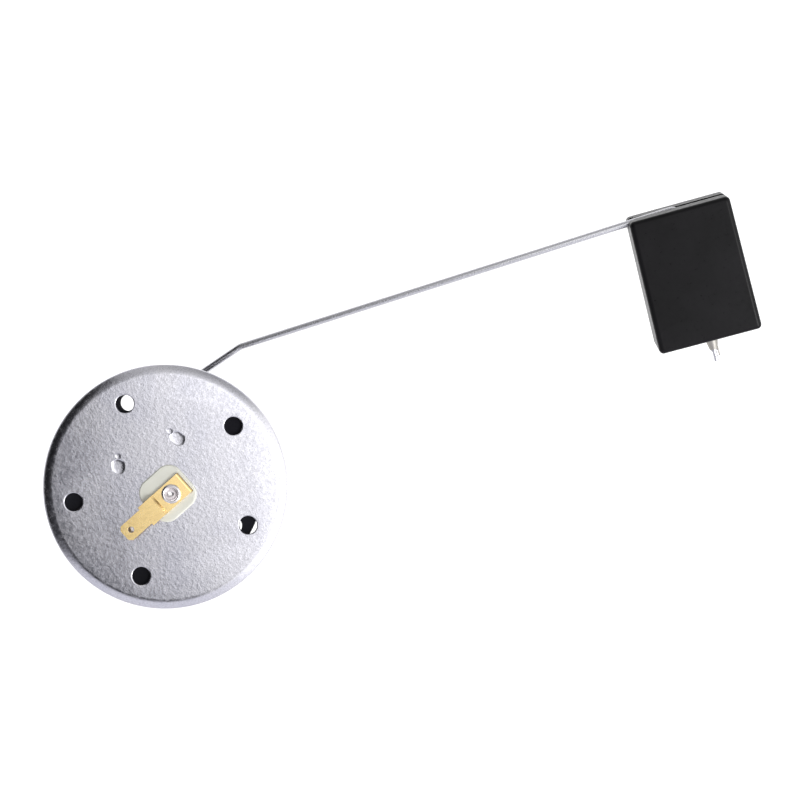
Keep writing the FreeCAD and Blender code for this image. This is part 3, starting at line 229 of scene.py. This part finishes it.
def dress_nodes():
    """Gives each carried-over node the material of its slot."""
    for part in frame["record"]["subparts"]:
        node = NODES[part["node"]]
        node.data.materials.clear()
        node.data.materials.append(MATERIALS[part["material_slot"]])


# Mesh helpers

def right_way_out(mesh):
    tool = bmesh.new()
    tool.from_mesh(mesh)
    bmesh.ops.recalc_face_normals(tool, faces=tool.faces)
    tool.to_mesh(mesh)
    tool.free()


def new_mesh(name, vertices, faces):
    """A mesh from vertices in millimetres."""
    mesh = bpy.data.meshes.new(name)
    mesh.from_pydata([tuple(Vector(vertex) * MM) for vertex in vertices], [], faces)
    return mesh


def dress_piece(mesh, name, node, slot, sharp):
    """Makes a mesh the piece that stands for a CAD node of the flange's body."""
    right_way_out(mesh)
    mesh.polygons.foreach_set("use_smooth", [True] * len(mesh.polygons))
    mesh.set_sharp_from_angle(angle=math.radians(sharp))
    mesh.materials.clear()
    mesh.materials.append(MATERIALS[slot])
    piece = bpy.data.objects.new(name, mesh)
    bpy.context.scene.collection.objects.link(piece)
    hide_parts(node)
    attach(piece, "flange_assembly")


def lathe(profile, segments, closed=True):
    """Vertices and faces of a profile of (radius, height) turned about Z. A profile that isn't
    closed ends in caps."""
    vertices, faces = [], []
    count = len(profile)
    for step in range(segments):
        angle = 2 * math.pi * step / segments
        for radius, height in profile:
            vertices.append((radius * math.cos(angle), radius * math.sin(angle), height))
    for step in range(segments):
        here, there = step * count, (step + 1) % segments * count
        for index in range(count if closed else count - 1):
            after = (index + 1) % count
            faces.append((here + index, there + index, there + after, here + after))
    if not closed:
        faces.append(tuple(step * count for step in range(segments))[::-1])
        faces.append(tuple(step * count + count - 1 for step in range(segments)))
    return vertices, faces


def arc(centre, radius, start, end, steps):
    """Points of an arc in a profile, with angles in degrees from +radius towards +height."""
    points = []
    for step in range(steps + 1):
        angle = math.radians(start + (end - start) * step / steps)
        points.append((centre[0] + radius * math.cos(angle),
                       centre[1] + radius * math.sin(angle)))
    return points


def moved(vertices, x, y):
    return [(a + x, b + y, height) for a, b, height in vertices]


def merged(parts):
    vertices, faces = [], []
    for part_vertices, part_faces in parts:
        first = len(vertices)
        vertices += part_vertices
        faces += [tuple(first + index for index in face) for face in part_faces]
    return vertices, faces


def cut_by(mesh, cutters, name):
    """The mesh less the cutters, as a new mesh."""
    body = bpy.data.objects.new(name, mesh)
    tool_mesh = new_mesh(name + "_tool", *merged(cutters))
    right_way_out(tool_mesh)
    tool = bpy.data.objects.new(name + "_tool", tool_mesh)
    for item in (body, tool):
        bpy.context.scene.collection.objects.link(item)
    modifier = body.modifiers.new("cut", "BOOLEAN")
    modifier.operation = "DIFFERENCE"
    modifier.solver = "EXACT"
    modifier.object = tool
    bpy.context.view_layer.update()
    result = bpy.data.meshes.new_from_object(
        body.evaluated_get(bpy.context.evaluated_depsgraph_get()))
    bpy.data.objects.remove(body)
    bpy.data.objects.remove(tool)
    return result


# Flange: a pressed cup with punched holes and stamped marks

SHEET_TOP, SHEET_UNDER, CUP_EDGE = 5.2, 4.0, 0.4
CUP_RADIUS, CUP_WALL = 35.985, 1.2
BOLT_CIRCLE, BOLT_HOLE = 27.0, 2.65
BOLT_ANGLES = (90.0, 16.0, 164.0, -50.0, 230.0)
STACK_X, STACK_Y, STACK_HOLE, STACK_HOLE_EDGE = 1.35, -2.74, 4.0, 0.1
CLINCH_RADIUS, CLINCH_EDGE, CLINCH_DEPTH = 1.8, 0.15, 0.85


def cup_profile():
    """A wide soft shoulder that turns down in a tighter corner, then the wall and the inside."""
    soft, tight, turn = 4.6, 0.6, 40.0
    swing = math.radians(turn)
    reach = CUP_RADIUS - tight * (1 - math.sin(swing)) - soft * math.sin(swing)
    shoulder = arc((reach, SHEET_TOP - soft), soft, 90.0, 90.0 - turn, 10)
    drop = SHEET_TOP - soft * (1 - math.cos(swing))
    corner = arc((CUP_RADIUS - tight, drop - tight * math.cos(swing)), tight, 90.0 - turn, 0.0, 6)
    lip = arc((CUP_RADIUS - 0.25, CUP_EDGE + 0.25), 0.25, 0.0, -90.0, 3)
    inner_lip = arc((CUP_RADIUS - CUP_WALL + 0.25, CUP_EDGE + 0.25), 0.25, -90.0, -180.0, 3)
    inside = arc((CUP_RADIUS - CUP_WALL - 1.4, SHEET_UNDER - 1.4), 1.4, 0.0, 90.0, 6)
    return shoulder + corner[1:] + lip + inner_lip + inside


def punched_hole(x, y, radius, edge=0.32):
    """A cutter whose top flares, as a punch rolls the sheet's edge in."""
    flare = arc((radius + edge, SHEET_TOP - edge), edge, 180.0, 95.0, 5)
    profile = [(radius, SHEET_UNDER - 1.0)] + flare + [(radius + edge + 0.1, SHEET_TOP + 0.6)]
    vertices, faces = lathe(profile, 64, closed=False)
    return moved(vertices, x, y), faces


def dimple(side, along, stretch, radius, depth):
    """A cutter for a stamped dimple on a mark's own axis, with a sloped wall and a dished floor."""
    lean = math.radians(MARK_LEAN)
    axis = Vector((-math.sin(lean) * side, math.cos(lean), 0.0))
    across = Vector((math.cos(lean) * side, math.sin(lean), 0.0))
    centre = Vector((MARK_X * side, MARK_Y, 0.0)) + axis * along
    rings = [(1.06, 0.25), (1.0, 0.0), (0.93, -0.55), (0.85, -0.80), (0.6, -0.95), (0.3, -1.0)]
    segments = 48
    vertices, faces = [], []
    for share, level in rings:
        height = SHEET_TOP + (0.25 if level > 0 else level * depth)
        for step in range(segments):
            angle = 2 * math.pi * step / segments
            egg = 1.0 + 0.06 * math.sin(angle)
            point = (centre + across * (math.cos(angle) * radius * share * egg)
                     + axis * (math.sin(angle) * radius * share
                               + math.copysign(stretch * share, math.sin(angle))
                               * min(1.0, abs(math.sin(angle)) * 3)))
            vertices.append((point.x, point.y, height))
    for ring in range(len(rings) - 1):
        for step in range(segments):
            after = (step + 1) % segments
            faces.append((ring * segments + step, ring * segments + after,
                          (ring + 1) * segments + after, (ring + 1) * segments + step))
    faces.append(tuple(range(segments)))
    last = (len(rings) - 1) * segments
    faces.append(tuple(last + step for step in range(segments))[::-1])
    return vertices, faces


def clinch(side):
    """The sheet's metal pushed through the bracket's foot under a mark."""
    low = SHEET_UNDER - CLINCH_DEPTH
    profile = [(CLINCH_RADIUS, SHEET_UNDER + 0.1), (CLINCH_RADIUS, low)]
    profile += arc((CLINCH_RADIUS - CLINCH_EDGE, low), CLINCH_EDGE, 0.0, -90.0, 3)[1:]
    vertices, faces = lathe(profile, 40, closed=False)
    return moved(vertices, MARK_X * side, MARK_Y), faces


def add_flange():
    mesh = new_mesh("flange_pressing", *lathe(cup_profile(), 224, closed=False))
    right_way_out(mesh)
    holes = []
    for angle in BOLT_ANGLES:
        swing = math.radians(angle)
        holes.append(punched_hole(BOLT_CIRCLE * math.cos(swing), BOLT_CIRCLE * math.sin(swing),
                                  BOLT_HOLE))
    holes.append(punched_hole(STACK_X, STACK_Y, STACK_HOLE, STACK_HOLE_EDGE))
    holes += [dimple(side, 0.0, MARK_STRETCH, MARK_RADIUS, MARK_DEPTH) for side in (-1, 1)]
    mesh = cut_by(mesh, holes, "flange_holes")
    dots = [dimple(side, DOT_DISTANCE, 0.0, DOT_RADIUS, DOT_DEPTH) for side in (-1, 1)]
    mesh = cut_by(mesh, dots, "flange_dots")
    clinches = new_mesh("clinches", *merged([clinch(side) for side in (-1, 1)]))
    whole = bmesh.new()
    whole.from_mesh(mesh)
    whole.from_mesh(clinches)
    whole.to_mesh(mesh)
    whole.free()
    dress_piece(mesh, "flange_sheet", "flange_cup", "zinc_steel", 25.0)


# Terminal rivet: a rolled head with a funnel, and a rolled end inside the flange

RIVET_SEAT, RIVET_END_SEAT = 7.5, 2.0


def add_terminal_rivet():
    seat = RIVET_SEAT
    head = [(2.0, seat), (2.62, seat)]
    head += arc((2.50, seat + 0.37), 0.35, -60.0, 60.0, 6)
    head += arc((2.28, seat + 0.42), 0.43, 65.0, 135.0, 5)
    head += [(1.85, seat + 0.55), (1.78, seat + 0.36), (1.62, seat + 0.02), (1.38, seat - 0.34),
             (1.08, seat - 0.66), (0.74, seat - 0.90), (0.38, seat - 1.04), (0.0, seat - 1.08)]
    low = RIVET_END_SEAT
    end = [(0.0, seat - 1.8), (1.15, seat - 1.9), (1.25, low + 0.6), (1.45, low - 0.1),
           (1.75, low - 0.55)]
    end += arc((2.2, low - 0.42), 0.38, -120.0, -60.0, 4)
    end += arc((2.55, low - 0.35), 0.35, -50.0, 60.0, 5)
    end += [(2.62, low), (2.0, low)]
    vertices, faces = lathe(head + end, 72)
    mesh = new_mesh("rolled_rivet", moved(vertices, STACK_X, STACK_Y), faces)
    dress_piece(mesh, "rolled_rivet", "terminal_rivet", "tinned_rivet", 40.0)


# Resistor: every turn of the wire on its curved card

PIVOT_Z = -18.0
CARD_RADIUS, CARD_HALF, CARD_TOP, CARD_FOOT = 10.5, 0.5, 9.7, 13.2
WIRE_LIFT, WIRE_THICK = 0.25, 0.13
TURNS, WOUND_ANGLE = 52, 38.3
WIRE_SIDES = 7


def turn_outline():
    """One turn's path round the card's section, as (from the card's middle, along Y)."""
    half, bend = CARD_HALF + WIRE_LIFT, 0.22
    low, high = CARD_TOP - WIRE_LIFT, CARD_FOOT + WIRE_LIFT
    points = []
    for x, y, start in ((half - bend, high - bend, 0.0), (bend - half, high - bend, 90.0),
                        (bend - half, low + bend, 180.0), (half - bend, low + bend, 270.0)):
        points += arc((x, y), bend, start, start + 90.0, 3)
    return points


def add_winding():
    path = turn_outline()
    middle = (CARD_TOP + CARD_FOOT) / 2
    half_height = (CARD_FOOT - CARD_TOP) / 2
    vertices, faces = [], []
    sides = WIRE_SIDES
    for turn in range(TURNS):
        lean = math.sin(turn * 2.4) * 0.12
        swing = math.radians(270.0 - WOUND_ANGLE + 2 * WOUND_ANGLE * (turn + lean) / (TURNS - 1))
        outwards = Vector((math.cos(swing), 0.0, math.sin(swing)))
        sideways = Vector((-math.sin(swing), 0.0, math.cos(swing)))
        base = Vector((0.0, 0.0, PIVOT_Z)) + outwards * CARD_RADIUS
        first = len(vertices)
        for away, y in path:
            centre = base + outwards * away + Vector((0.0, y, 0.0))
            normal = (outwards * away
                      + Vector((0.0, (y - middle) / half_height, 0.0))).normalized()
            for side in range(sides):
                angle = 2 * math.pi * side / sides
                vertices.append(centre + normal * math.cos(angle) * WIRE_THICK
                                + sideways * math.sin(angle) * WIRE_THICK)
        count = len(path)
        for index in range(count):
            here, there = first + index * sides, first + (index + 1) % count * sides
            for side in range(sides):
                after = (side + 1) % sides
                faces.append((here + side, there + side, there + after, here + after))
    dress_piece(new_mesh("winding_turns", vertices, faces), "winding_turns",
                "resistance_winding", "resistance_wire", 60.0)


# Camera

CAMERA_ROLL = math.radians(25.5)
CAMERA_LENS, SENSOR_WIDTH = 70.2, 36.0
CAMERA_PLACE = Vector((73.42, -6.75, 463.0)) * MM


def add_camera():
    """Looks straight down on the flange side, rolled so that the arm rises to the right."""
    roll = CAMERA_ROLL
    right = Vector((math.cos(roll), -math.sin(roll), 0))
    up = Vector((math.sin(roll), math.cos(roll), 0))
    back = right.cross(up)
    data = bpy.data.cameras.new("camera")
    data.lens = CAMERA_LENS
    data.sensor_width = SENSOR_WIDTH
    camera = bpy.data.objects.new("camera", data)
    turn = Matrix((right, up, back)).transposed().to_4x4()
    camera.matrix_world = Matrix.Translation(CAMERA_PLACE) @ turn
    bpy.context.scene.collection.objects.link(camera)
    bpy.context.scene.camera = camera


# Light and background

FLOOR_HALF, FLOOR_GLOW = 3.0, 0.34
KEY_PLACE, KEY_WIDTH, KEY_POWER = Vector((0.42, -0.55, 0.72)), 0.30, 5.0
# Brightness of the ceiling by a direction's X and then by its Y, both from -1 at 0 to +1 at 1
CEILING_X = [(0.05, (0.02, 0.02, 0.022)), (0.36, (0.05, 0.05, 0.055)), (0.40, (0.32, 0.32, 0.34)),
             (0.45, (1.8, 1.8, 1.81)), (0.52, (2.3, 2.3, 2.3)), (0.80, (1.6, 1.6, 1.6))]
CEILING_Y = [(0.0, (1.0, 1.0, 1.0)), (0.25, (0.75, 0.75, 0.75)), (0.36, (0.55, 0.55, 0.55)),
             (0.45, (1.0, 1.0, 1.0)), (0.55, (1.0, 1.0, 1.0)), (0.66, (0.45, 0.45, 0.45)),
             (0.85, (0.30, 0.30, 0.30))]


def background_ray(tree):
    """1 for rays that show the background: seen directly, in metal or through nylon."""
    path = add_node(tree, "ShaderNodeLightPath")
    direct = math_node(tree, "MAXIMUM", path.outputs["Is Camera Ray"],
                       path.outputs["Is Transmission Ray"])
    return math_node(tree, "MAXIMUM", direct, path.outputs["Is Glossy Ray"])


def add_floor():
    """A matte sheet that glows towards the camera, so it is white and still takes shadows."""
    material, tree, shader = new_material("floor_white")
    output = tree.nodes["Material Output"]
    tree.nodes.remove(shader)
    matte = add_node(tree, "ShaderNodeBsdfDiffuse", {"Color": (0.80, 0.80, 0.80, 1.0)})
    glow = add_node(tree, "ShaderNodeEmission", {"Color": (1.0, 1.0, 1.0, 1.0),
                                                 "Strength": FLOOR_GLOW})
    both = add_node(tree, "ShaderNodeAddShader", {0: matte.outputs[0], 1: glow.outputs[0]})
    chosen = add_node(tree, "ShaderNodeMixShader",
                      {0: background_ray(tree), 1: matte.outputs[0], 2: both.outputs[0]})
    tree.links.new(chosen.outputs[0], output.inputs["Surface"])
    mesh = bpy.data.meshes.new("floor")
    half = FLOOR_HALF
    mesh.from_pydata([(-half, -half, FLOOR_Z), (half, -half, FLOOR_Z), (half, half, FLOOR_Z),
                      (-half, half, FLOOR_Z)], [], [(0, 1, 2, 3)])
    floor = bpy.data.objects.new("floor", mesh)
    floor.data.materials.append(material)
    bpy.context.scene.collection.objects.link(floor)


def add_world():
    """A pale room with a wide bright ceiling that is dark on its -X side, apart from a light
    patch low on the -Y side."""
    world = bpy.data.worlds.new("studio")
    world.use_nodes = True
    bpy.context.scene.world = world
    tree = world.node_tree
    background = tree.nodes["Background"]
    way = add_node(tree, "ShaderNodeSeparateXYZ",
                   {"Vector": add_node(tree, "ShaderNodeTexCoord").outputs["Generated"]})
    across = remap(tree, way.outputs["X"], -1.0, 1.0, 0.0, 1.0)
    along = remap(tree, way.outputs["Y"], -1.0, 1.0, 0.0, 1.0)
    ceiling = mix_colour(tree, 1.0, ramp(tree, across, CEILING_X), ramp(tree, along, CEILING_Y),
                         "MULTIPLY")
    low = math_node(tree, "MULTIPLY", remap(tree, way.outputs["Z"], 0.90, 0.80, 0.0, 1.0),
                    remap(tree, way.outputs["Y"], -0.04, -0.22, 0.0, 1.0))
    near = ramp(tree, across, [(0.45, (0.95, 0.95, 1.02)), (0.70, (1.9, 1.9, 1.9))])
    ceiling = mix_colour(tree, low, ceiling, near)
    wall = (0.85, 0.85, 0.86)
    height = remap(tree, way.outputs["Z"], 0.03, 0.12, 0.0, 1.0)
    tree.links.new(mix_colour(tree, height, wall, ceiling), background.inputs["Color"])
    background.inputs["Strength"].default_value = 1.0


def add_key():
    """One soft lamp that stands to the lower right of the picture and aims at the flange."""
    data = bpy.data.lights.new("key", "AREA")
    data.shape = "RECTANGLE"
    data.size, data.size_y = KEY_WIDTH, KEY_WIDTH
    data.energy = KEY_POWER
    lamp = bpy.data.objects.new("key", data)
    aim = (-KEY_PLACE).to_track_quat("-Z", "Y")
    lamp.matrix_world = Matrix.Translation(KEY_PLACE) @ aim.to_matrix().to_4x4()
    bpy.context.scene.collection.objects.link(lamp)


def main():
    bpy.context.scene.view_settings.view_transform = "Standard"
    add_camera()
    add_world()
    add_floor()
    add_key()
    dress_nodes()
    add_flange()
    add_terminal_rivet()
    add_winding()


main()
